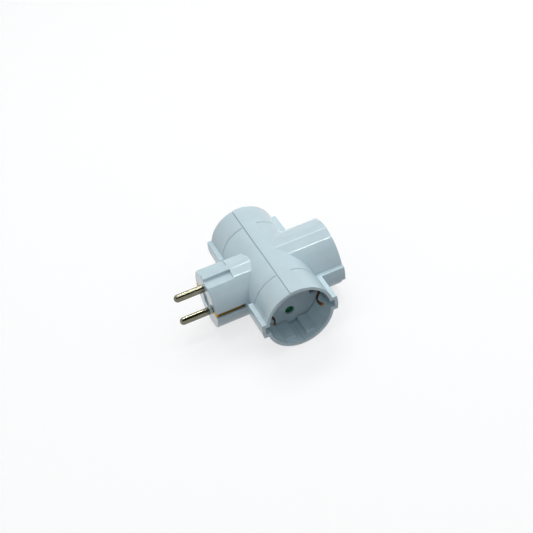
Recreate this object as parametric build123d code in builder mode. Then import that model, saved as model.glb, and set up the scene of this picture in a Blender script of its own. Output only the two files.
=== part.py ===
from build123d import *
from math import cos, radians, sin, sqrt
import os

os.makedirs("parts", exist_ok=True)

# A plug adapter: one two-pin plug with side earth contacts feeds three round sockets.
# The origin is the middle of the plug face. X runs from the plug into the adapter,
# the front socket opens towards -Y, the rear one towards +Y, the end one towards +X.

# Pins
pin_dia = 4.8
pin_reach = 19.0
pin_spacing = 19.0
pin_root = 11.0
pin_shank_dia = 5.4
pin_spigot_dia = 3.0
pin_spigot_proud = 0.8

# Rounding of the long edges between the flats of the plug and of the end socket
crown_round = 2.5

# Places of the socket axes, rims and floors
barrel_x = 42.3
barrel_reach = 43.2
end_reach = 38.8
well_depth = 17.5

# Round socket shells
shell_radius = 21.4
shell_wall = 1.9
band_raise = 0.25
band_left = 3.9
band_right = 4.6
joint_low = 0.3
joint_groove_width = 0.45
joint_groove_depth = 0.7
hairline = 0.2
rib_root = 0.3

# Ring grooves round the barrel
ring_groove_at = 25.0
ring_groove_width = 0.5
ring_groove_depth = 0.5

# Flats along the top of the end socket
end_flat_half = 3.0
end_flat_drop = 0.21
end_corner_y = 9.8

# Ears beside the wells, and the channel inside each
ear_stand = 2.8
ear_half_height = 4.9
ear_off_plug = 5.0
ear_wall = 2.1
channel_half_height = 2.6

# Guide blocks at the top and bottom of each well
guide_depth = 3.0
guide_slot_half = 3.5
guide_short_of_rim = 3.7

# Plug body
plug_ridge_half = 2.2
plug_ridge_height = 18.15
plug_corner_y = 8.4
plug_corner_z = 16.7
plug_side_y = 17.4
plug_notch_floor = 16.15
plug_notch_to_barrel = 3.8
plug_cavity_over_bar = 0.4
plug_face_thick = 4.0
plug_edge_round = 1.0
face_recess_width = 9.0
face_recess_height = 11.0
face_recess_depth = 0.8
face_recess_corner = 1.5
earth_slot_half = 1.6
earth_slot_to_barrel = 2.1
earth_slot_depth = 1.9
earth_dive_length = 2.4
earth_hole_y = 10.0

# Ledge behind each socket floor
ledge_width = 1.5
ledge_thick = 1.5
ledge_gap_half = 6.0

# Socket floors
floor_thick = 2.0
floor_gap = 0.1
contact_hole_dia = 5.8
contact_hole_chamfer = 0.3
clip_slot_length = 5.5
clip_slot_half = 2.6
hub_dia = 6.0
hub_tip_dia = 3.0
post_dia = 2.4
post_circle = 15.0

# Shutters
shutter_past_hole = 0.4
shutter_thick = 2.0
shutter_gap = 0.2
shutter_turn = 40.0
shutter_fit = 0.06
notch_width = 5.8
notch_root = 6.6
spring_well_dia = 10.4
spring_well_depth = 1.3
spring_well_wall = 0.6

# Shutter springs
spring_wire = 0.45
spring_bend = 0.7
spring_step = 20
spring_coil_dia = 8.4
spring_turns = 1.5
spring_rise = 0.55
spring_leg = 2.0
spring_slot_width = 1.2
spring_slot_spare = 0.5
spring_hole_dia = 0.6

# Contact carriers
carrier_past_post = 0.2
carrier_half_width = 13.6
carrier_thick = 2.0
carrier_seat_gap = 0.05

# Contact sleeves
sleeve_outer = 7.0
sleeve_bore = 5.0
sleeve_length = 12.0
sleeve_set_back = 1.0
sleeve_slit = 0.8
sleeve_pad_width = 4.0
sleeve_pad_length = 5.0
sleeve_pad_thick = 1.5

# Live and neutral bars
bar_over_sleeve = 0.1
bar_thick = 0.8
bar_half_width = 2.5
bar_tab_past_pin = 3.5

# Earth strips
strip_thick = 0.8
strip_half_width = 1.0
strip_bend = 0.6
strip_slot_gap = 0.1
strip_cavity_gap = 0.7
strip_well_gap = 0.6
strip_dive = 1.6
strip_face_proud = 0.3
strip_face_gap = 0.05
strip_face_end_y = 13.3
strip_end_gap = 0.3
foot_half_width = 2.4
foot_below_floor = 1.2
foot_gap = 0.3
strip_end_round = 0.7
# the three places of a clip, each as its distance in from the wall side and its height on the floor
clip_straight = (0.0, 4.2)
clip_curve_start = (2.95, 7.4)
clip_tip = (2.6, 15.2)

# Earth bridge
bridge_thick = 0.8
bridge_arm = 3.6
bridge_end_y = 17.0
bridge_finger_width = 3.0
bridge_finger_out = 0.9
bridge_off_carrier = 0.4

# French earth tube
tube_outer = 6.4
tube_bore = 5.0
tube_off_strip = 1.5
tube_set_back = 0.5
tube_fit = 0.05

# Sizes that follow from the ones above
pin_half = pin_spacing / 2
well_radius = shell_radius - shell_wall
barrel_floor = barrel_reach - well_depth
end_floor = end_reach - well_depth
joint_height = sqrt(shell_radius**2 - band_left**2)
joint_inner_height = sqrt(well_radius**2 - band_left**2)
end_corner_z = sqrt(shell_radius**2 - end_corner_y**2)
ear_radius = shell_radius + ear_stand
ear_foot = plug_side_y + ear_off_plug
channel_out = ear_radius - ear_wall
guide_height = well_radius - guide_depth
ledge_radius = well_radius - ledge_width
bar_low = pin_half + sleeve_outer / 2 + bar_over_sleeve
plug_cavity_radius = bar_low + bar_thick + plug_cavity_over_bar
plug_notch_length = barrel_x - shell_radius - plug_notch_to_barrel
earth_slot_floor = plug_side_y - earth_slot_depth
earth_slot_length = barrel_x - shell_radius - earth_slot_to_barrel
clip_slot_in = well_radius - clip_slot_length
shutter_radius = pin_half + contact_hole_dia / 2 + shutter_past_hole
carrier_front = floor_thick + 2 * shutter_gap + shutter_thick
carrier_radius = post_circle + post_dia / 2 + carrier_past_post
strip_side_y = earth_slot_floor + strip_slot_gap + strip_thick / 2
strip_inner_y = plug_cavity_radius - strip_cavity_gap - strip_thick / 2
strip_well_at = well_radius - strip_well_gap - strip_thick / 2
foot_back = floor_thick + foot_below_floor
end_foot_back = end_floor - strip_well_at + strip_thick / 2

# Each socket as its own plane: the plane's Z points out of the mouth and its Y points up
front_plane = Plane(origin=(barrel_x, 0, 0), x_dir=(1, 0, 0), z_dir=(0, -1, 0))
rear_plane = Plane(origin=(barrel_x, 0, 0), x_dir=(-1, 0, 0), z_dir=(0, 1, 0))
end_plane = Plane(origin=(barrel_x, 0, 0), x_dir=(0, 1, 0), z_dir=(1, 0, 0))
sockets = [
    ("front", front_plane, barrel_floor),
    ("rear", rear_plane, barrel_floor),
    ("end", end_plane, end_floor),
]


def save(piece, name):
    piece.label = name
    export_step(piece, "parts/" + name + ".step")


# Section with a flat crown, a sloping flat beside it and bulging sides, the same top and bottom
def crowned_section(plane, flat_half, flat_z, corner_y, corner_z, side_y):
    with BuildSketch(plane) as section:
        with BuildLine():
            for top in (1, -1):
                Polyline(
                    (-corner_y, top * corner_z),
                    (-flat_half, top * flat_z),
                    (flat_half, top * flat_z),
                    (corner_y, top * corner_z),
                )
            for side in (1, -1):
                ThreePointArc((side * corner_y, corner_z), (side * side_y, 0), (side * corner_y, -corner_z))
        make_face()
        fillet(section.vertices(), crown_round)
    return section.sketch


# Ear beside a well, from a height on the socket axis out to the rim
def ear(plane, side, foot, rim):
    with BuildPart() as shape:
        with BuildSketch(plane.offset(foot)):
            Circle(ear_radius)
            with Locations((side * ear_radius / 2, 0)):
                Rectangle(ear_radius, 2 * ear_half_height, mode=Mode.INTERSECT)
        extrude(amount=rim - foot)
    return shape.part


# Channel inside both ears of one socket
def channels(plane, floor, rim):
    with BuildPart() as hollow:
        with BuildSketch(plane.offset(floor - floor_thick)):
            Rectangle(2 * channel_out, 2 * channel_half_height)
        extrude(amount=rim - floor + floor_thick)
    return hollow.part


# Guide blocks of one well; side -1 and 1 keep the left or right pair, 0 keeps both
def guides(plane, floor, rim, side):
    with BuildPart() as blocks:
        with BuildSketch():
            Circle(well_radius + rib_root)
            Rectangle(3 * well_radius, 2 * guide_height, mode=Mode.SUBTRACT)
            Rectangle(2 * guide_slot_half, 3 * well_radius, mode=Mode.SUBTRACT)
            if side != 0:
                with Locations((-side * well_radius, 0)):
                    Rectangle(2 * well_radius, 3 * well_radius, mode=Mode.SUBTRACT)
        extrude(amount=rim - floor - guide_short_of_rim)
    return plane.offset(floor).location * blocks.part


# Ledge that a socket floor rests on, open beside the earth clips
def ledge(plane, floor):
    with BuildPart() as rib:
        with BuildSketch(plane.offset(floor - floor_thick - ledge_thick)):
            Circle(well_radius + rib_root)
            Circle(ledge_radius, mode=Mode.SUBTRACT)
            Rectangle(3 * well_radius, 2 * ledge_gap_half, mode=Mode.SUBTRACT)
        extrude(amount=ledge_thick)
    return rib.part


# Ring groove round the barrel, left out across the band and the ears
def ring_groove(plane):
    with BuildPart() as groove:
        with BuildSketch(plane.offset(ring_groove_at - ring_groove_width / 2)):
            Circle(shell_radius + band_raise)
            Circle(shell_radius - ring_groove_depth, mode=Mode.SUBTRACT)
            Rectangle(3 * shell_radius, 2 * ear_half_height, mode=Mode.SUBTRACT)
            Rectangle(2 * band_right, 3 * shell_radius, mode=Mode.SUBTRACT)
        extrude(amount=ring_groove_width)
    return groove.part


# Whole housing before it is parted: plug, barrel and end socket, hollowed out
with BuildPart() as housing:
    plug_section = crowned_section(
        Plane.YZ, plug_ridge_half, plug_ridge_height, plug_corner_y, plug_corner_z, plug_side_y
    )
    extrude(plug_section, amount=barrel_x)
    fillet(housing.faces().sort_by(Axis.X)[0].edges(), plug_edge_round)
    for top in (1, -1):
        for side in (1, -1):
            with BuildSketch(Plane.YZ):
                across = side * (plug_ridge_half + plug_side_y / 2)
                with Locations((across, top * (plug_notch_floor + plug_ridge_height / 2))):
                    Rectangle(plug_side_y, plug_ridge_height)
            extrude(amount=plug_notch_length, mode=Mode.SUBTRACT)
    with BuildSketch(front_plane.offset(-barrel_reach)):
        Circle(shell_radius)
    extrude(amount=2 * barrel_reach)
    with BuildSketch(front_plane.offset(-barrel_reach)):
        Circle(shell_radius + band_raise)
        with Locations(((band_right - band_left) / 2, shell_radius)):
            Rectangle(band_left + band_right, shell_radius, mode=Mode.INTERSECT)
    extrude(amount=2 * barrel_reach)
    end_section = crowned_section(
        end_plane, end_flat_half, shell_radius - end_flat_drop, end_corner_y, end_corner_z, shell_radius
    )
    extrude(end_section, amount=end_reach)
    add(ear(front_plane, -1, ear_foot, barrel_reach))
    add(ear(front_plane, 1, well_radius, barrel_reach))
    add(ear(rear_plane, 1, ear_foot, barrel_reach))
    add(ear(rear_plane, -1, well_radius, barrel_reach))
    add(ear(end_plane, -1, well_radius, end_reach))
    add(ear(end_plane, 1, well_radius, end_reach))
    with BuildSketch(front_plane.offset(-barrel_reach)):
        Circle(well_radius)
    extrude(amount=2 * barrel_reach, mode=Mode.SUBTRACT)
    with BuildSketch(end_plane):
        Circle(well_radius)
    extrude(amount=end_reach, mode=Mode.SUBTRACT)
    with BuildSketch(Plane.YZ.offset(plug_face_thick)):
        Circle(plug_cavity_radius)
    extrude(amount=barrel_x - plug_face_thick, mode=Mode.SUBTRACT)
    add(channels(front_plane, barrel_floor, barrel_reach), mode=Mode.SUBTRACT)
    add(channels(rear_plane, barrel_floor, barrel_reach), mode=Mode.SUBTRACT)
    add(channels(end_plane, end_floor, end_reach), mode=Mode.SUBTRACT)
    add(ring_groove(front_plane), mode=Mode.SUBTRACT)
    add(ring_groove(rear_plane), mode=Mode.SUBTRACT)
    add(ledge(front_plane, barrel_floor))
    add(ledge(rear_plane, barrel_floor))
    add(ledge(end_plane, end_floor))
    # Face recess, pin holes, French earth hole and the slots of the side contacts
    with BuildSketch(Plane.YZ):
        RectangleRounded(face_recess_width, face_recess_height, face_recess_corner)
    extrude(amount=face_recess_depth, mode=Mode.SUBTRACT)
    with BuildSketch(Plane.YZ):
        with Locations((0, pin_half), (0, -pin_half)):
            Circle(pin_shank_dia / 2)
        with Locations((-earth_hole_y, 0)):
            Circle(tube_outer / 2 + tube_fit)
    extrude(amount=plug_face_thick, mode=Mode.SUBTRACT)
    for side in (1, -1):
        with BuildSketch(Plane.YZ):
            with Locations((side * plug_side_y, 0)):
                Rectangle(2 * earth_slot_depth, 2 * earth_slot_half)
        extrude(amount=earth_slot_length, mode=Mode.SUBTRACT)
        # the strip dives through the plug wall behind the slot
        with BuildSketch(Plane.YZ.offset(earth_slot_length - earth_dive_length)):
            with Locations((side * (plug_cavity_radius + earth_slot_floor) / 2, 0)):
                Rectangle(2 * (earth_slot_floor - plug_cavity_radius), 2 * earth_slot_half)
        extrude(amount=earth_dive_length, mode=Mode.SUBTRACT)
        # groove across the face for the turned-in end of the strip
        groove_width = plug_side_y - strip_face_end_y + strip_end_gap
        with BuildSketch(Plane.YZ):
            with Locations((side * (plug_side_y - groove_width / 2), 0)):
                Rectangle(groove_width, 2 * earth_slot_half)
        extrude(amount=strip_thick - strip_face_proud + strip_face_gap, mode=Mode.SUBTRACT)


# Block that holds everything on the plug side of the parting
with BuildPart() as plug_side:
    parting_top = barrel_x - band_left
    parting_low = barrel_x + joint_low
    with BuildSketch(Plane.XZ.offset(-barrel_reach)):
        with BuildLine():
            Polyline(
                (0, ear_radius),
                (parting_top, ear_radius),
                (parting_top, 0),
                (parting_low, 0),
                (parting_low, -ear_radius),
                (0, -ear_radius),
                close=True,
            )
        make_face()
    extrude(amount=2 * barrel_reach)


# Plug half of the housing
with BuildPart() as plug_half:
    add(housing.part)
    add(plug_side.part, mode=Mode.INTERSECT)
    add(guides(front_plane, barrel_floor, barrel_reach, -1))
    add(guides(rear_plane, barrel_floor, barrel_reach, 1))
    # the upper guide blocks stop under the wall of the other half
    with BuildSketch(front_plane.offset(-barrel_reach)):
        with Locations((-band_left / 2, joint_inner_height + rib_root)):
            Rectangle(band_left, 2 * rib_root)
    extrude(amount=2 * barrel_reach, mode=Mode.SUBTRACT)
    with BuildSketch(front_plane.offset(-barrel_reach)):
        with Locations((-band_left - joint_groove_width / 2, joint_height)):
            Rectangle(joint_groove_width, 2 * joint_groove_depth)
    extrude(amount=2 * barrel_reach, mode=Mode.SUBTRACT)
    with BuildSketch(front_plane.offset(-barrel_reach)):
        with Locations((joint_low - hairline / 2, -well_radius)):
            Rectangle(hairline, 2 * hairline)
    extrude(amount=2 * barrel_reach, mode=Mode.SUBTRACT)
save(plug_half.part, "plug_half")

# Socket half of the housing, with the top band and the whole end socket
with BuildPart() as socket_half:
    add(housing.part)
    add(plug_side.part, mode=Mode.SUBTRACT)
    add(guides(front_plane, barrel_floor, barrel_reach, 1))
    add(guides(rear_plane, barrel_floor, barrel_reach, -1))
    add(guides(end_plane, end_floor, end_reach, 0))
save(socket_half.part, "socket_half")


# One pin with a half-round tip, a thicker shank in the housing and a spigot riveted through its bar
def pin(height):
    pin_spigot_end = pin_root + bar_thick + pin_spigot_proud
    spigot_top = height + pin_spigot_dia / 2
    shank_top = height + pin_shank_dia / 2
    pin_top = height + pin_dia / 2
    with BuildPart() as turned:
        with BuildSketch(Plane.XZ):
            with BuildLine():
                Line((-pin_reach, height), (pin_spigot_end, height))
                Line((pin_spigot_end, height), (pin_spigot_end, spigot_top))
                Line((pin_spigot_end, spigot_top), (pin_root, spigot_top))
                Line((pin_root, spigot_top), (pin_root, shank_top))
                Line((pin_root, shank_top), (0, shank_top))
                Line((0, shank_top), (0, pin_top))
                Line((0, pin_top), (pin_dia / 2 - pin_reach, pin_top))
                RadiusArc((pin_dia / 2 - pin_reach, pin_top), (-pin_reach, height), -pin_dia / 2)
            make_face()
        revolve(axis=Axis((0, 0, height), (1, 0, 0)))
    return turned.part


save(pin(pin_half), "upper_pin")
save(pin(-pin_half), "lower_pin")


# Flat bar that joins one pin to three contact sleeves; level 1 is the upper one
def contact_bar(level):
    sleeve_end = barrel_floor - carrier_front - sleeve_set_back
    pad_end = sleeve_end - sleeve_length + sleeve_pad_length
    end_pad = end_floor - barrel_floor + pad_end
    low = level * bar_low
    with BuildPart() as bar:
        with BuildSketch(Plane.XY.offset(min(low, low + level * bar_thick))):
            with Locations(((pin_root + barrel_x + end_pad) / 2, 0)):
                Rectangle(barrel_x + end_pad - pin_root, 2 * bar_half_width)
            with Locations((barrel_x, 0)):
                Rectangle(2 * bar_half_width, 2 * pad_end)
        extrude(amount=bar_thick)
        with BuildSketch(Plane.YZ.offset(pin_root)):
            tab_foot = pin_half - bar_tab_past_pin
            with Locations((0, level * (bar_low + tab_foot) / 2)):
                Rectangle(2 * bar_half_width, bar_low - tab_foot)
            with Locations((0, level * pin_half)):
                Circle(pin_spigot_dia / 2, mode=Mode.SUBTRACT)
        extrude(amount=bar_thick)
    return bar.part


save(contact_bar(1), "upper_contact_bar")
save(contact_bar(-1), "lower_contact_bar")


# Split spring sleeve with a flat pad that is welded to its bar; built with its mouth at height 0
def contact_sleeve(level):
    with BuildPart() as sleeve:
        with BuildSketch(Plane.XY.offset(-sleeve_length)):
            Circle(sleeve_outer / 2)
        extrude(amount=sleeve_length)
        with BuildSketch(Plane.XY.offset(-sleeve_length)):
            with Locations((0, level * (bar_low - pin_half - sleeve_pad_thick / 2))):
                Rectangle(sleeve_pad_width, sleeve_pad_thick)
        extrude(amount=sleeve_pad_length)
        with BuildSketch(Plane.XY.offset(-sleeve_length)):
            Circle(sleeve_bore / 2)
            with Locations((0, -level * sleeve_outer / 2)):
                Rectangle(sleeve_slit, sleeve_outer)
        extrude(amount=sleeve_length, mode=Mode.SUBTRACT)
    return sleeve.part


# Round floor of one well: holes for the pins, slots for the earth clips, hub and posts behind
def socket_floor():
    with BuildPart() as floor:
        with BuildSketch(Plane.XY.offset(-floor_thick)):
            Circle(well_radius - floor_gap)
            with Locations((0, pin_half), (0, -pin_half)):
                Circle(contact_hole_dia / 2, mode=Mode.SUBTRACT)
            with Locations((well_radius, 0), (-well_radius, 0)):
                Rectangle(2 * (well_radius - clip_slot_in), 2 * clip_slot_half, mode=Mode.SUBTRACT)
        extrude(amount=floor_thick)
        face_circles = floor.edges().filter_by(GeomType.CIRCLE).group_by(Axis.Z)[-1]
        chamfer(face_circles.filter_by(lambda edge: edge.radius < pin_half), contact_hole_chamfer)
        with BuildSketch(Plane.XY.offset(-carrier_front)):
            Circle(hub_dia / 2)
            with PolarLocations(post_circle, 4, start_angle=45):
                Circle(post_dia / 2)
        extrude(amount=carrier_front - floor_thick)
        with BuildSketch(Plane.XY.offset(-carrier_front - carrier_thick)):
            Circle(hub_tip_dia / 2)
        extrude(amount=carrier_thick)
    return floor.part


# Turning shutter that covers both pin holes until pins wedge it round
def shutter():
    with BuildPart() as rotor:
        with BuildSketch(Plane.XY.offset(-floor_thick - shutter_gap - shutter_thick)):
            Circle(shutter_radius)
            Circle(hub_dia / 2 + shutter_fit, mode=Mode.SUBTRACT)
            with PolarLocations(notch_root + shutter_radius, 2, start_angle=90 - shutter_turn):
                Rectangle(2 * shutter_radius, notch_width, mode=Mode.SUBTRACT)
        extrude(amount=shutter_thick)
        with BuildSketch(Plane.XY.offset(-floor_thick - shutter_gap - shutter_thick)):
            Circle(spring_well_dia / 2)
            Circle(hub_dia / 2 + shutter_fit + spring_well_wall, mode=Mode.SUBTRACT)
            with Locations((-(spring_coil_dia + spring_leg) / 2, 0)):
                Rectangle(spring_leg + 2 * spring_slot_spare, spring_slot_width)
        extrude(amount=spring_well_depth, mode=Mode.SUBTRACT)
    return rotor.part


# Wire spring that turns a shutter back: one leg bent into the carrier, then one and a half
# coils round the hub, then one leg bent out into the slot of the shutter
def shutter_spring():
    coil_radius = spring_coil_dia / 2
    top = -floor_thick - shutter_gap - shutter_thick + spring_well_depth - spring_wire
    low = top - spring_rise
    points = [(coil_radius, 0, low - spring_leg), (coil_radius, 0, low - spring_leg / 2)]
    points += [(coil_radius, spring_bend / 4, low - spring_bend)]
    steps = round(spring_turns * 360 / spring_step)
    for step in range(1, steps):
        angle = radians(step * spring_step)
        points += [(coil_radius * cos(angle), coil_radius * sin(angle), low + spring_rise * step / steps)]
    points += [(-coil_radius - spring_bend, -spring_bend / 4, top)]
    points += [(-coil_radius - spring_leg, 0, top)]
    with BuildPart() as spring:
        with BuildLine() as path:
            Spline(*points)
        with BuildSketch(Plane(origin=path.line @ 0, z_dir=path.line % 0)):
            Circle(spring_wire / 2)
        sweep()
    return spring.part


# Insulating carrier that closes the shutter in and holds the mouths of the sleeves
def contact_carrier():
    with BuildPart() as carrier:
        with BuildSketch(Plane.XY.offset(-carrier_front - carrier_thick)):
            Circle(carrier_radius)
            Rectangle(2 * carrier_half_width, 2 * carrier_radius, mode=Mode.INTERSECT)
            Circle(hub_tip_dia / 2, mode=Mode.SUBTRACT)
            with Locations((0, pin_half), (0, -pin_half)):
                Circle(sleeve_outer / 2 + carrier_seat_gap, mode=Mode.SUBTRACT)
            with Locations((spring_coil_dia / 2, 0)):
                Circle(spring_hole_dia / 2, mode=Mode.SUBTRACT)
        extrude(amount=carrier_thick)
    return carrier.part


for name, plane, floor in sockets:
    place = plane.offset(floor).location
    mouth = carrier_front + sleeve_set_back
    save(place * socket_floor(), name + "_socket_floor")
    save(place * shutter(), name + "_shutter")
    save(place * shutter_spring(), name + "_shutter_spring")
    save(place * contact_carrier(), name + "_contact_carrier")
    save(place * Location((0, pin_half, -mouth)) * contact_sleeve(1), name + "_upper_sleeve")
    save(place * Location((0, -pin_half, -mouth)) * contact_sleeve(-1), name + "_lower_sleeve")


# Places along one earth clip from the floor towards the mouth: distance from the axis, height
def clip_places(floor):
    places = (clip_straight, clip_curve_start, clip_tip)
    return [(strip_well_at - inward, floor + height) for inward, height in places]


# Bent strip of even thickness in the XY plane with rounded ends. The points give its straight
# runs; a curve goes on smoothly from the last point to one tip, and from the first to the other
def bent_strip(points, end_tip, start_tip=None):
    with BuildPart() as strip:
        with BuildLine() as run:
            straights = FilletPolyline(*points, radius=strip_bend)
            TangentArc(points[-1], end_tip, tangent=straights % 1)
            if start_tip:
                TangentArc(points[0], start_tip, tangent=-(straights % 0))
        path = run.wire()
        with BuildSketch(Plane(origin=path @ 0, z_dir=path % 0, x_dir=(0, 0, 1))):
            Rectangle(2 * strip_half_width, strip_thick)
        sweep(path=path)
        for end in (path @ 0, path @ 1):
            end_face = strip.faces().sort_by_distance(end)[0]
            fillet(end_face.edges().filter_by(Axis.Z, reverse=True), strip_end_round)
    return strip.part


# Foot of a clip, seen through the floor slot
def clip_foot(plane, side, floor, back):
    with BuildPart() as foot:
        with BuildSketch(plane.offset(floor - back)):
            with Locations((side * (clip_slot_in + foot_gap + strip_well_at) / 2, 0)):
                Rectangle(strip_well_at - clip_slot_in - foot_gap, 2 * foot_half_width)
        extrude(amount=strip_thick)
    return foot.part


# Earth strip of the plug side: face end, side contact, then a clip in the front or rear well
def plug_earth_strip(side):
    face_x = strip_thick / 2 - strip_face_proud
    points = [(face_x, side * strip_face_end_y)]
    points += [(face_x, side * strip_side_y)]
    points += [(earth_slot_length - strip_dive, side * strip_side_y)]
    points += [(earth_slot_length, side * strip_inner_y)]
    points += [(barrel_x - strip_well_at, side * strip_inner_y)]
    clip = [(barrel_x - across, side * along) for across, along in clip_places(barrel_floor)]
    with BuildPart() as strip:
        add(bent_strip(points + clip[:-1], clip[-1]))
        if side < 0:
            add(clip_foot(front_plane, -1, barrel_floor, foot_back))
        else:
            add(clip_foot(rear_plane, 1, barrel_floor, foot_back))
    return strip.part


# Earth strip of the end socket: a clip in the front or rear well and one in the end well
def corner_earth_strip(side):
    barrel_clip = [(barrel_x + across, side * along) for across, along in clip_places(barrel_floor)]
    end_clip = [(barrel_x + along, side * across) for across, along in clip_places(end_floor)]
    corner = (barrel_x + strip_well_at, side * strip_well_at)
    points = [barrel_clip[1], barrel_clip[0], corner, end_clip[0], end_clip[1]]
    with BuildPart() as strip:
        add(bent_strip(points, end_clip[2], barrel_clip[2]))
        add(clip_foot(end_plane, side, end_floor, end_foot_back))
        if side < 0:
            add(clip_foot(front_plane, 1, barrel_floor, foot_back))
        else:
            add(clip_foot(rear_plane, -1, barrel_floor, foot_back))
    return strip.part


save(plug_earth_strip(-1), "front_plug_earth_strip")
save(plug_earth_strip(1), "rear_plug_earth_strip")
save(corner_earth_strip(-1), "front_corner_earth_strip")
save(corner_earth_strip(1), "rear_corner_earth_strip")

# Flat bridge that joins the four earth strips
with BuildPart() as earth_bridge:
    left = barrel_x - strip_well_at + strip_thick / 2
    right = barrel_x + end_floor - carrier_front - carrier_thick - bridge_off_carrier
    foot_face = barrel_x + end_floor - end_foot_back
    finger_out = strip_well_at - bridge_finger_out
    with BuildSketch(Plane.XY.offset(-bridge_thick / 2)):
        with Locations((left + bridge_arm / 2, 0)):
            Rectangle(bridge_arm, 2 * bridge_end_y)
        with Locations(((left + right) / 2, 0)):
            Rectangle(right - left, bridge_arm)
        with Locations((right - bridge_arm / 2, 0)):
            Rectangle(bridge_arm, 2 * finger_out)
        finger_at = finger_out - bridge_finger_width / 2
        for side in (1, -1):
            with Locations(((right - bridge_arm + foot_face) / 2, side * finger_at)):
                Rectangle(foot_face - right + bridge_arm, bridge_finger_width)
    extrude(amount=bridge_thick)
save(earth_bridge.part, "earth_bridge")

# French earth tube behind the hole in the plug face
with BuildPart() as earth_tube:
    with BuildSketch(Plane.YZ.offset(tube_set_back)):
        with Locations((-earth_hole_y, 0)):
            Circle(tube_outer / 2)
            Circle(tube_bore / 2, mode=Mode.SUBTRACT)
    extrude(amount=earth_slot_length - strip_dive - tube_off_strip - tube_set_back)
save(earth_tube.part, "earth_tube")
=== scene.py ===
import math

import bpy
from mathutils import Matrix, Vector


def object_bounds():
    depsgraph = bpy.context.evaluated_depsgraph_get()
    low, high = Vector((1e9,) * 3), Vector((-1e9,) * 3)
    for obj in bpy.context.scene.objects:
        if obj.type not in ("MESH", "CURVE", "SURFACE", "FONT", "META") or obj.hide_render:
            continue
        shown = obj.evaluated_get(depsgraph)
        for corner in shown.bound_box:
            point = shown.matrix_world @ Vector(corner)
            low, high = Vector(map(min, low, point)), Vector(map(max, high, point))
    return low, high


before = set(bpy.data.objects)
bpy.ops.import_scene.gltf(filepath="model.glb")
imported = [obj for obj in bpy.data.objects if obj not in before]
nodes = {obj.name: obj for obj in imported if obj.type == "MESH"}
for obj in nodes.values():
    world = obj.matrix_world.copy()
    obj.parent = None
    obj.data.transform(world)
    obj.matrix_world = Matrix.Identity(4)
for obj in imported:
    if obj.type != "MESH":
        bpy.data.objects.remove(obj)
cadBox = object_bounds()
mm = 0.001  # the scene is in metres, the sizes of patterns are in millimetres
noiseSpan = {"From Min": 0.35, "From Max": 0.65}  # where most of a noise texture's values lie
waveGap = 0.314  # distance between the bands of a wave texture at scale 1
print("frame loaded,", len(nodes), "CAD nodes")


# sRGB hex to the linear colour that a shader socket takes
def linearColour(hexText):
    channels = [int(hexText[place:place + 2], 16) / 255 for place in (0, 2, 4)]
    linear = [c / 12.92 if c <= 0.04045 else ((c + 0.055) / 1.055) ** 2.4 for c in channels]
    return (*linear, 1.0)


# One node with its settings, its fixed inputs and its links
def addNode(tree, kind, settings=None, inputs=None, links=None):
    node = tree.nodes.new(kind)
    for name, value in (settings or {}).items():
        setattr(node, name, value)
    for socket, value in (inputs or {}).items():
        node.inputs[socket].default_value = value
    for socket, source in (links or {}).items():
        tree.links.new(source, node.inputs[socket])
    return node


# Empty material with the object's own coordinates, and a shader that nothing feeds yet
def startMaterial(name):
    material = bpy.data.materials.new(name)
    material.use_nodes = True
    tree = material.node_tree
    tree.nodes.clear()
    place = addNode(tree, "ShaderNodeTexCoord").outputs["Object"]
    shader = addNode(tree, "ShaderNodeBsdfPrincipled")
    addNode(tree, "ShaderNodeOutputMaterial", links={"Surface": shader.outputs["BSDF"]})
    return material, tree, place, shader


# Injection-moulded ABS: an even cool white with a close gloss, a faint ripple from the mould
# and softened edges that catch a thin line of light
# recessMm and recessShade set how far and how strongly the painted shade in recesses reaches
plasticLooks = {
    "housing": {
        "name": "moulded_abs_cool_white", "colour": "C9E0E9", "shade": "C4D9E3", "roughness": 0.10,
        "gloss": 0.5, "blotchMm": 16, "rippleMm": 2.6, "rippleDepth": 0.008, "grainMm": 0.35,
        "grainDepth": 0.0010, "recessMm": 2.0, "recessShade": 0.15, "edgeMm": 0.12,
    },
    # the floors of the wells are moulded apart, with a finer satin finish
    "floor": {
        "name": "moulded_abs_satin_white", "colour": "BDD0D7", "shade": "B4C7CF", "roughness": 0.36,
        "gloss": 0.45, "blotchMm": 12, "rippleMm": 2.0, "rippleDepth": 0.006, "grainMm": 0.30,
        "grainDepth": 0.0020, "recessMm": 1.5, "recessShade": 0.9, "edgeMm": 0.15,
    },
    # the shutters are a dyed green nylon with a waxy gloss
    "shutter": {
        "name": "moulded_nylon_green", "colour": "04824F", "shade": "037446", "roughness": 0.34,
        "gloss": 0.30, "blotchMm": 4, "rippleMm": 1.2, "rippleDepth": 0.006, "grainMm": 0.25,
        "grainDepth": 0.0020, "recessMm": 3.0, "recessShade": 0.9, "edgeMm": 0.15,
    },
    # the carriers behind them are a black, dull moulding compound
    "carrier": {
        "name": "moulded_phenolic_black", "colour": "1B1B1C", "shade": "242422", "roughness": 0.62,
        "gloss": 0.4, "blotchMm": 5, "rippleMm": 1.5, "rippleDepth": 0.010, "grainMm": 0.30,
        "grainDepth": 0.0060, "recessMm": 3.0, "recessShade": 0.5, "edgeMm": 0.15,
    },
}


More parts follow.
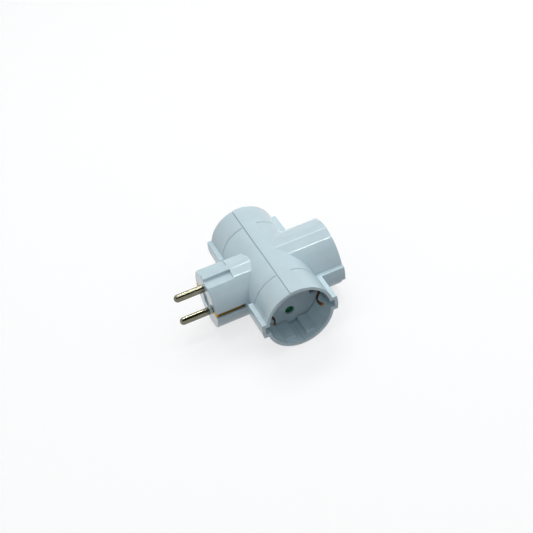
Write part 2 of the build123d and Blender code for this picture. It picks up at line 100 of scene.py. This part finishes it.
def mouldedPlastic(look):
    material, tree, place, shader = startMaterial(look["name"])
    shader.inputs["Specular IOR Level"].default_value = look["gloss"]
    shader.inputs["IOR"].default_value = 1.53
    blotch = addNode(tree, "ShaderNodeTexNoise", inputs={"Scale": 1 / (look["blotchMm"] * mm), "Detail": 3},
                     links={"Vector": place})
    blotchSpread = addNode(tree, "ShaderNodeMapRange", inputs=noiseSpan,
                           links={"Value": blotch.outputs["Fac"]})
    tint = addNode(tree, "ShaderNodeMix", {"data_type": "RGBA"},
                   links={"Factor": blotchSpread.outputs["Result"]})
    tint.inputs["A"].default_value = linearColour(look["colour"])
    tint.inputs["B"].default_value = linearColour(look["shade"])
    # painted shade: ambient occlusion darkens the colour in recesses, grooves and holes, where less light
    # reaches them
    recess = addNode(tree, "ShaderNodeAmbientOcclusion", {"samples": 8}, {"Distance": look["recessMm"] * mm})
    paintedRecessShade = addNode(tree, "ShaderNodeMix", {"data_type": "RGBA", "blend_type": "MULTIPLY"},
                    links={"A": tint.outputs["Result"], "B": recess.outputs["Color"]})
    paintedRecessShade.inputs["Factor"].default_value = look["recessShade"]
    tree.links.new(paintedRecessShade.outputs["Result"], shader.inputs["Base Color"])
    smudge = addNode(tree, "ShaderNodeTexNoise", inputs={"Scale": 3 / (look["blotchMm"] * mm), "Detail": 5},
                     links={"Vector": place})
    sheen = addNode(tree, "ShaderNodeMapRange",
                    inputs={**noiseSpan, "To Min": look["roughness"] * 0.85,
                            "To Max": look["roughness"] * 1.2},
                    links={"Value": smudge.outputs["Fac"]})
    tree.links.new(sheen.outputs["Result"], shader.inputs["Roughness"])
    soften = addNode(tree, "ShaderNodeBevel", {"samples": 6}, {"Radius": look["edgeMm"] * mm})
    normal = soften.outputs["Normal"]
    for sizeMm, depthMm in ((look["rippleMm"], look["rippleDepth"]), (look["grainMm"], look["grainDepth"])):
        relief = addNode(tree, "ShaderNodeTexNoise", inputs={"Scale": 1 / (sizeMm * mm), "Detail": 1},
                         links={"Vector": place})
        bump = addNode(tree, "ShaderNodeBump", inputs={"Strength": 1, "Distance": depthMm * mm},
                       links={"Height": relief.outputs["Fac"], "Normal": normal})
        normal = bump.outputs["Normal"]
    tree.links.new(normal, shader.inputs["Normal"])
    return material


metalLooks = {
    # brass pins, turned and nickel plated: a greenish grey mirror with faint turning rings and
    # rubs along the pin from being pushed in and out
    "pin": {
        "name": "nickel_plated_brass_turned", "colour": "807F6F", "worn": "70705F", "roughness": 0.10,
        "ringMm": 0.45, "ringDepth": 0.0006, "rubMm": 0.5, "rubStretch": (0.06, 1, 1), "tarnishMm": 5,
    },
    # contact springs and bars: plain stamped brass
    "brass": {
        "name": "stamped_brass", "colour": "D8B45E", "worn": "B58E3E", "roughness": 0.26,
        "ringMm": 0.30, "ringDepth": 0.0010, "rubMm": 0.6, "rubStretch": (0.2, 1, 1), "tarnishMm": 3,
    },
    # shutter springs: drawn steel wire
    "wire": {
        "name": "drawn_steel_wire", "colour": "A9ABAD", "worn": "8B8C8C", "roughness": 0.25,
        "ringMm": 0.25, "ringDepth": 0.0008, "rubMm": 0.4, "rubStretch": (0.3, 1, 1), "tarnishMm": 2,
    },
    # earth strips: stamped bronze that has browned in the wells; along the side of the plug it
    # is gold painted darker as shade from the slot it lies in, and its turned-in end on the face is a
    # brighter gold
    "bronze": {
        "name": "stamped_bronze_browned", "colour": "9C6636", "worn": "5A3A22", "roughness": 0.30,
        "ringMm": 0.30, "ringDepth": 0.0012, "rubMm": 0.7, "rubStretch": (1, 1, 0.2), "tarnishMm": 2.2,
        "tonesUpToMm": (("5E4A12", 20.5), ("B98A2A", 1.5)),
    },
}


def bareMetal(look):
    material, tree, place, shader = startMaterial(look["name"])
    shader.inputs["Metallic"].default_value = 1.0
    tarnish = addNode(tree, "ShaderNodeTexNoise", inputs={"Scale": 1 / (look["tarnishMm"] * mm), "Detail": 4},
                      links={"Vector": place})
    tarnishSpread = addNode(tree, "ShaderNodeMapRange", inputs=noiseSpan,
                            links={"Value": tarnish.outputs["Fac"]})
    tint = addNode(tree, "ShaderNodeMix", {"data_type": "RGBA"},
                   links={"Factor": tarnishSpread.outputs["Result"]})
    tint.inputs["A"].default_value = linearColour(look["colour"])
    tint.inputs["B"].default_value = linearColour(look["worn"])
    colour = tint.outputs["Result"]
    along = addNode(tree, "ShaderNodeSeparateXYZ", links={"Vector": place})
    # tones by distance along X: a darker gold along the side of the plug, which is painted shade, and a
    # brighter gold at its turned-in end
    for tone, upToMm in look.get("tonesUpToMm", ()):
        edge = addNode(tree, "ShaderNodeMapRange",
                       inputs={"From Min": (upToMm - 1) * mm, "From Max": upToMm * mm},
                       links={"Value": along.outputs["X"]})
        change = addNode(tree, "ShaderNodeMix", {"data_type": "RGBA"},
                         links={"Factor": edge.outputs["Result"], "B": colour})
        change.inputs["A"].default_value = linearColour(tone)
        colour = change.outputs["Result"]
    tree.links.new(colour, shader.inputs["Base Color"])
    drawnOut = addNode(tree, "ShaderNodeMapping", inputs={"Scale": look["rubStretch"]},
                       links={"Vector": place})
    rub = addNode(tree, "ShaderNodeTexNoise", inputs={"Scale": 1 / (look["rubMm"] * mm), "Detail": 4},
                  links={"Vector": drawnOut.outputs["Vector"]})
    polish = addNode(tree, "ShaderNodeMapRange",
                     inputs={**noiseSpan, "To Min": look["roughness"] * 0.8,
                             "To Max": look["roughness"] * 1.35},
                     links={"Value": rub.outputs["Fac"]})
    tree.links.new(polish.outputs["Result"], shader.inputs["Roughness"])
    rings = addNode(tree, "ShaderNodeTexWave", {"wave_type": "BANDS", "bands_direction": "X"},
                    {"Scale": waveGap / (look["ringMm"] * mm), "Distortion": 1.5, "Detail": 2},
                    {"Vector": place})
    turned = addNode(tree, "ShaderNodeBump", inputs={"Strength": 1, "Distance": look["ringDepth"] * mm},
                     links={"Height": rings.outputs["Fac"]})
    tree.links.new(turned.outputs["Normal"], shader.inputs["Normal"])
    return material


plastics = {key: mouldedPlastic(look) for key, look in plasticLooks.items()}
metals = {key: bareMetal(look) for key, look in metalLooks.items()}
print("materials made,", len(plastics) + len(metals))

# Which finish each CAD node takes, by how its name ends
finishByEnding = {
    "_half": plastics["housing"],
    "_socket_floor": plastics["floor"],
    "_shutter": plastics["shutter"],
    "_contact_carrier": plastics["carrier"],
    "_pin": metals["pin"],
    "_contact_bar": metals["brass"],
    "_sleeve": metals["brass"],
    "_earth_strip": metals["bronze"],
    "earth_bridge": metals["bronze"],
    "earth_tube": metals["pin"],
    "_shutter_spring": metals["wire"],
}
for name, node in nodes.items():
    finish = next(material for ending, material in finishByEnding.items() if name.endswith(ending))
    node.data.materials.clear()
    node.data.materials.append(finish)
print("finishes on", len(nodes), "nodes")

# Paper floor, world light and the black card; the lift makes the floor's paper show as white
stage = {
    "floorSize": 4.0, "floorColour": "96979A", "floorLift": 0.72, "worldLight": 0.41,
    "cardSize": (3.0, 1.25), "cardAt": (0.04, -0.62, 0.90), "cardColour": "050505",
}


# One for a ray from the camera, a mirror-like surface or glass, and zero for a ray that gathers light
def seenDirectly(tree):
    path = addNode(tree, "ShaderNodeLightPath")
    seen = addNode(tree, "ShaderNodeMath", {"operation": "MAXIMUM"},
                   links={0: path.outputs["Is Camera Ray"], 1: path.outputs["Is Glossy Ray"]})
    seenToo = addNode(tree, "ShaderNodeMath", {"operation": "MAXIMUM"},
                      links={0: seen.outputs["Value"], 1: path.outputs["Is Transmission Ray"]})
    return seenToo.outputs["Value"]


# Matt paper: the camera and mirror-like surfaces see it lifted to white, with its shadows kept
paper = bpy.data.materials.new("matt_paper")
paper.use_nodes = True
paperTree = paper.node_tree
paperTree.nodes.clear()
lift = addNode(paperTree, "ShaderNodeMath", {"operation": "MULTIPLY"}, {1: stage["floorLift"]},
               {0: seenDirectly(paperTree)})
matt = addNode(paperTree, "ShaderNodeBsdfDiffuse", inputs={"Color": linearColour(stage["floorColour"])})
glow = addNode(paperTree, "ShaderNodeEmission", inputs={"Color": (1, 1, 1, 1)},
               links={"Strength": lift.outputs["Value"]})
both = addNode(paperTree, "ShaderNodeAddShader", links={0: matt.outputs["BSDF"], 1: glow.outputs["Emission"]})
addNode(paperTree, "ShaderNodeOutputMaterial", links={"Surface": both.outputs["Shader"]})

# Black card: held over the front of the object, it gives the pins the dark streak along their
# upper side, and only mirror-like surfaces see it
card = bpy.data.materials.new("black_card")
card.use_nodes = True
card.node_tree.nodes["Principled BSDF"].inputs["Base Color"].default_value = linearColour(stage["cardColour"])
card.node_tree.nodes["Principled BSDF"].inputs["Roughness"].default_value = 1.0

sheets = {
    "studio_floor": {"at": (0, 0, cadBox[0][2]), "size": (stage["floorSize"], stage["floorSize"]),
                     "made": paper},
    "black_card": {"at": stage["cardAt"], "size": stage["cardSize"], "made": card},
}
for name, sheet in sheets.items():
    halfX, halfY = sheet["size"][0] / 2, sheet["size"][1] / 2
    mesh = bpy.data.meshes.new(name)
    mesh.from_pydata([(-halfX, -halfY, 0), (halfX, -halfY, 0), (halfX, halfY, 0), (-halfX, halfY, 0)], [],
                     [(0, 1, 2, 3)])
    mesh.materials.append(sheet["made"])
    flat = bpy.data.objects.new(name, mesh)
    flat.location = sheet["at"]
    bpy.context.scene.collection.objects.link(flat)
    if name == "black_card":
        flat.visible_camera = flat.visible_diffuse = flat.visible_shadow = flat.visible_transmission = False

world = bpy.data.worlds.new("studio_world")
bpy.context.scene.world = world
world.use_nodes = True
worldTree = world.node_tree
worldTree.nodes.clear()
strength = addNode(worldTree, "ShaderNodeMapRange", inputs={"To Min": stage["worldLight"], "To Max": 1.0},
                   links={"Value": seenDirectly(worldTree)})
sky = addNode(worldTree, "ShaderNodeBackground", inputs={"Color": (1, 1, 1, 1)},
              links={"Strength": strength.outputs["Result"]})
addNode(worldTree, "ShaderNodeOutputWorld", links={"Surface": sky.outputs["Background"]})

# Softboxes: place, aim, size, power in watts and colour
softboxes = {
    # the two long boxes lie along the plug and the end socket
    "rear_softbox": {"at": (0.22, 0.50, 0.80), "aim": (0.22, 0, 0), "size": (0.8, 0.20), "power": 3.0,
                     "colour": "FFFEFA"},
    "upper_softbox": {"at": (0.22, 0.01, 0.85), "aim": (0.22, 0, 0), "size": (0.8, 0.16), "power": 1.25,
                      "colour": "FFFEFA"},
    "left_softbox": {"at": (-0.70, -0.20, 0.50), "aim": (0.03, 0, 0), "size": (0.4, 0.4), "power": 0.35,
                     "colour": "F6FAFF"},
    "right_softbox": {"at": (0.75, -0.10, 0.50), "aim": (0.03, 0, 0), "size": (0.4, 0.4), "power": 1.0,
                      "colour": "F6FAFF"},
    # narrow strips that only mirror-like surfaces see, for the bright lines on the moulded edges
    "rear_strip": {"at": (0.14, 0.50, 0.80), "aim": (0.14, 0, 0), "size": (0.39, 0.05), "power": 13.0,
                   "colour": "FFFFFF"},
    "upper_strip": {"at": (0.22, 0.01, 0.85), "aim": (0.22, 0, 0), "size": (0.8, 0.05), "power": 20.0,
                    "colour": "FFFFFF"},
}
for name, box in softboxes.items():
    lamp = bpy.data.lights.new(name, "AREA")
    lamp.shape = "RECTANGLE"
    lamp.size, lamp.size_y = box["size"]
    lamp.energy = box["power"]
    lamp.color = linearColour(box["colour"])[:3]
    holder = bpy.data.objects.new(name, lamp)
    holder.location = box["at"]
    holder.rotation_euler = (Vector(box["aim"]) - Vector(box["at"])).to_track_quat("-Z", "Y").to_euler()
    bpy.context.scene.collection.objects.link(holder)
    if name.endswith("_strip"):
        holder.visible_diffuse = holder.visible_transmission = False
print("floor, card, world and", len(softboxes), "softboxes in place")

# Camera: angles in degrees round the crossing of the arms; the shifts are across and up the picture
view = {"azimuth": -17.41, "elevation": 41.81, "roll": -10.10, "distance": 575.96, "across": -2.252,
        "up": 4.4125, "lens": 63.92, "sensor": 36.0, "crossing": (42.3, 0, 0)}
azimuth, elevation, roll = (math.radians(view[key]) for key in ("azimuth", "elevation", "roll"))
back = Vector((math.sin(azimuth) * math.cos(elevation), -math.cos(azimuth) * math.cos(elevation),
               math.sin(elevation)))
levelRight = Vector((math.cos(azimuth), math.sin(azimuth), 0))
levelUp = back.cross(levelRight)
right = math.cos(roll) * levelRight + math.sin(roll) * levelUp
up = -math.sin(roll) * levelRight + math.cos(roll) * levelUp
spot = Vector(view["crossing"]) + view["across"] * right + view["up"] * up + view["distance"] * back
cameraData = bpy.data.cameras.new("photo_camera")
cameraData.lens = view["lens"]
cameraData.sensor_width = view["sensor"]
cameraData.sensor_fit = "HORIZONTAL"
camera = bpy.data.objects.new("photo_camera", cameraData)
turn = Matrix((right, up, back)).transposed().to_4x4()
camera.matrix_world = Matrix.Translation(spot * mm) @ turn
bpy.context.scene.collection.objects.link(camera)
bpy.context.scene.camera = camera
bpy.context.scene.view_settings.view_transform = "Standard"
print("camera at", [round(value, 4) for value in camera.location])
